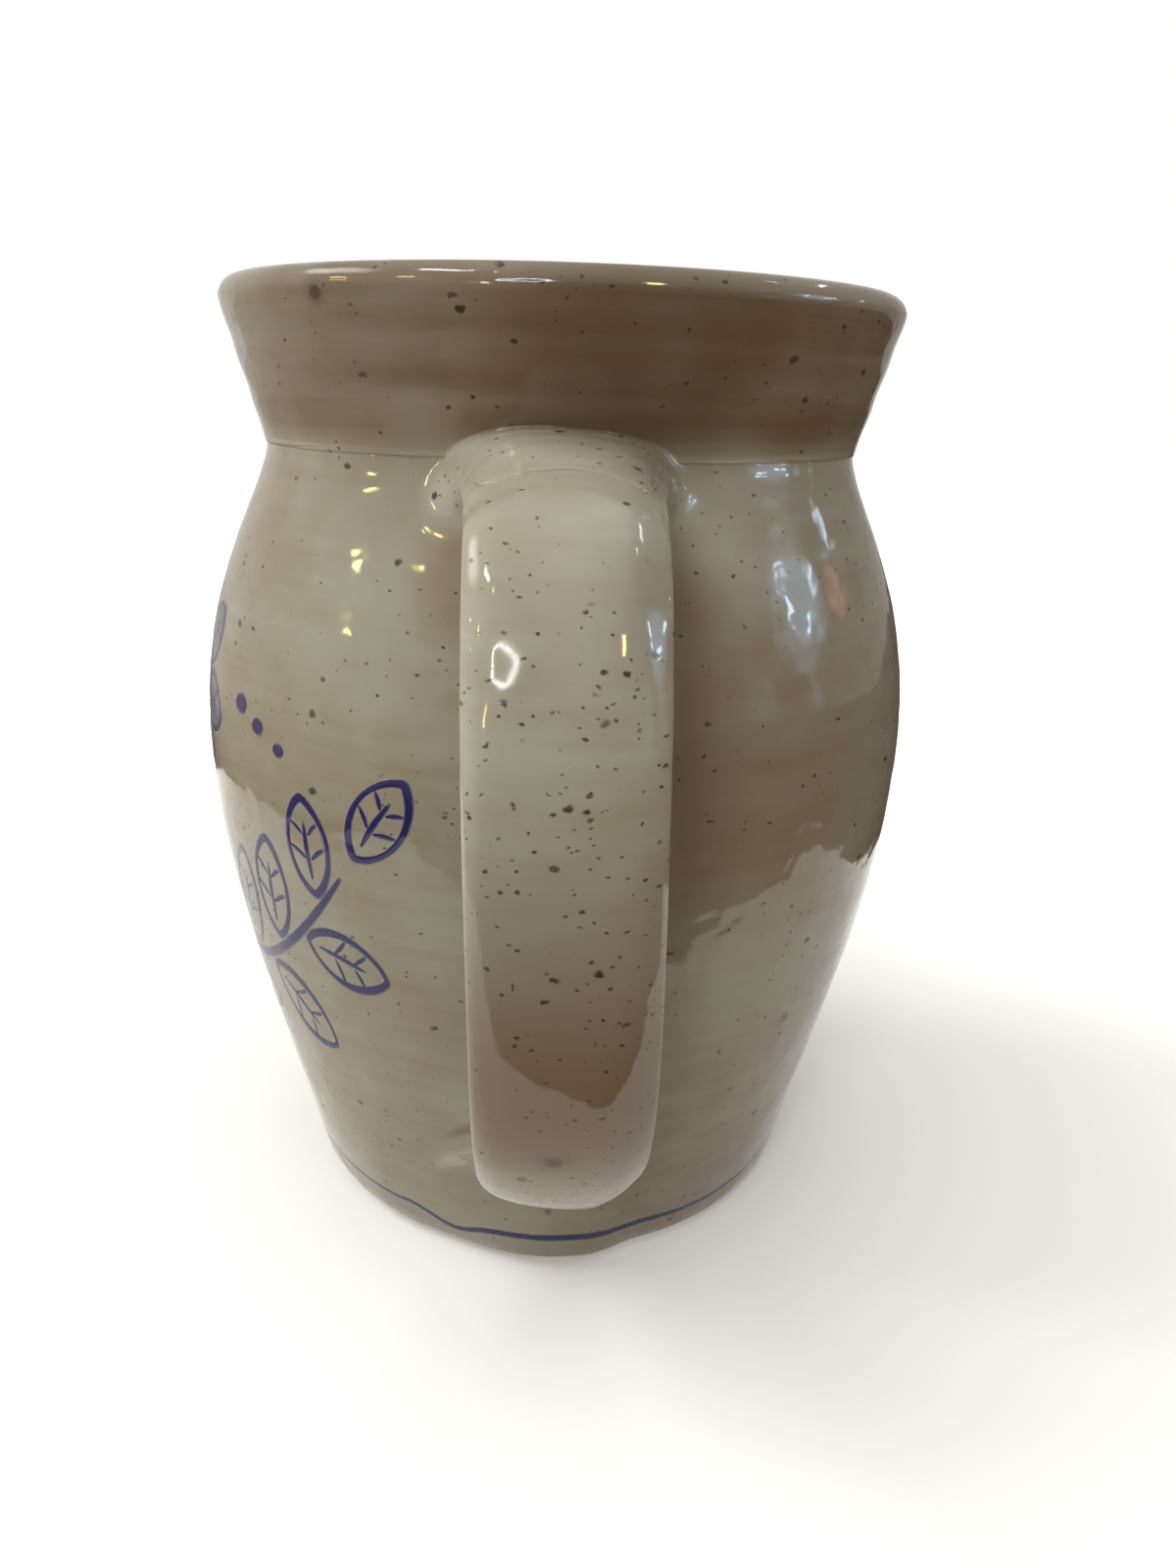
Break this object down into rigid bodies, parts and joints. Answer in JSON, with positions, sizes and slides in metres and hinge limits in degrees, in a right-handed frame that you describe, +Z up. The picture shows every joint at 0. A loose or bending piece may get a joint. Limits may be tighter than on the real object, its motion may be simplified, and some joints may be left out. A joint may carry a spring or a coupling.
{
  "type": "stoneware pitcher",
  "caption": "Bellied stoneware pitcher with a flared collar, a pulled spout, a strap handle luted on at neck and foot, and brushed cobalt decoration; stands on a flat base.",
  "frame": {"origin": "middle of the flat base, on the axis of the body", "axes": "+Z up along the axis of the body, -Y towards the handle, +Y towards the spout, -X towards the side with the sprig"},
  "size_m": [0.1448, 0.1881, 0.186],
  "materials": {
    "glazed_stoneware": "glossy grey-beige glaze over iron-specked stoneware",
    "lining_glaze": "glossy poured glaze",
    "cobalt_slip": "brushed cobalt under the glaze"
  },
  "bodies": {
    "root": {"body": "glazed_stoneware", "collar": "glazed_stoneware", "handle": "glazed_stoneware", "root_coil": "glazed_stoneware", "tail_coil": "glazed_stoneware", "inner_glaze": "lining_glaze", "cobalt_band": "cobalt_slip", "cobalt_sprig": "cobalt_slip"}
  },
  "joints": []
}
